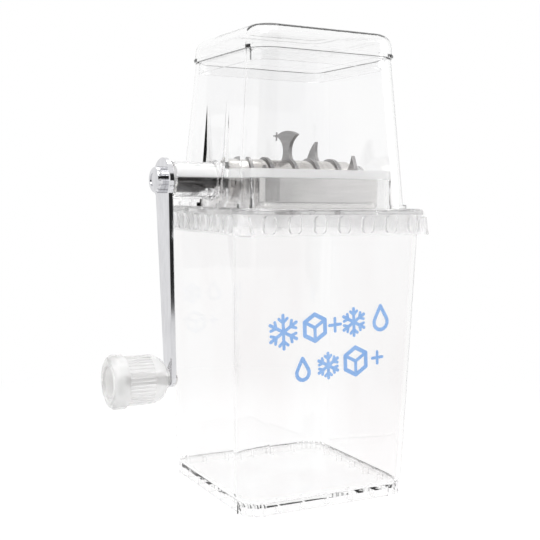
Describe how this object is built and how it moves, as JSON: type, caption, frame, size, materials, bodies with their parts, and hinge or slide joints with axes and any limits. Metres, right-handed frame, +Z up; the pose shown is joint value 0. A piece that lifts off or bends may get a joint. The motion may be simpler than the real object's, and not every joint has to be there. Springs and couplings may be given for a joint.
{
  "type": "hand cranked ice crusher",
  "caption": "Square clear-plastic ice crusher: side crank with ribbed knob turns a bladed rotor over a slotted tray, between a tall hopper with lid and a catching tub.",
  "frame": {"origin": "middle of the tub's foot ring, on the surface that it stands on", "axes": "+Z up through hopper and lid, -X towards the crank, -Y towards the printed front"},
  "size_m": [0.1613, 0.114, 0.2393],
  "materials": {
    "clear_tub": "clear, polished",
    "clear_housing": "clear, polished",
    "clear_hopper": "clear, polished",
    "clear_lid": "clear, polished",
    "clear_knob": "clear, ribbed",
    "chrome": "polished plating",
    "turned_steel": "turned",
    "blade_steel": "stamped, satin",
    "stainless_sheet": "satin",
    "spacer_alloy": "satin",
    "white_washers": "moulded"
  },
  "bodies": {
    "tub": {"ice_tub": "clear_tub"},
    "housing": {"crusher_housing": "clear_housing", "slotted_tray": "stainless_sheet", "tray_screws": "stainless_sheet", "thrust_washer": "white_washers", "end_washer": "white_washers"},
    "rotor": {"drive_shaft": "turned_steel", "crank_arm": "chrome", "cap_nut": "chrome", "knob_axle": "turned_steel", "knob_washer": "white_washers", "blade_1": "blade_steel", "blade_2": "blade_steel", "blade_3": "blade_steel", "blade_4": "blade_steel", "blade_5": "blade_steel", "spacer_1": "spacer_alloy", "spacer_2": "spacer_alloy", "spacer_3": "spacer_alloy", "spacer_4": "spacer_alloy", "spacer_5": "spacer_alloy", "spacer_6": "spacer_alloy"},
    "knob": {"knob_grip": "clear_knob", "knob_end_cap": "clear_knob"},
    "hopper": {"ice_hopper": "clear_hopper"},
    "lid": {"lid": "clear_lid"}
  },
  "joints": [
    {"name": "housing_lift", "type": "slide", "parent": "tub", "child": "housing", "axis": [0, 0, 1], "range_m": [0, 0.04]},
    {"name": "hopper_lift", "type": "slide", "parent": "housing", "child": "hopper", "axis": [0, 0, 1], "range_m": [0, 0.05]},
    {"name": "lid_lift", "type": "slide", "parent": "hopper", "child": "lid", "axis": [0, 0, 1], "range_m": [0, 0.04]},
    {"name": "crank_turn", "type": "hinge", "parent": "housing", "child": "rotor", "pos_m": [0, 0, 0.1636], "axis": [1, 0, 0], "continuous": true},
    {"name": "knob_spin", "type": "hinge", "parent": "rotor", "child": "knob", "pos_m": [0, -0.00949, 0.06506], "axis": [1, 0, 0], "continuous": true}
  ]
}
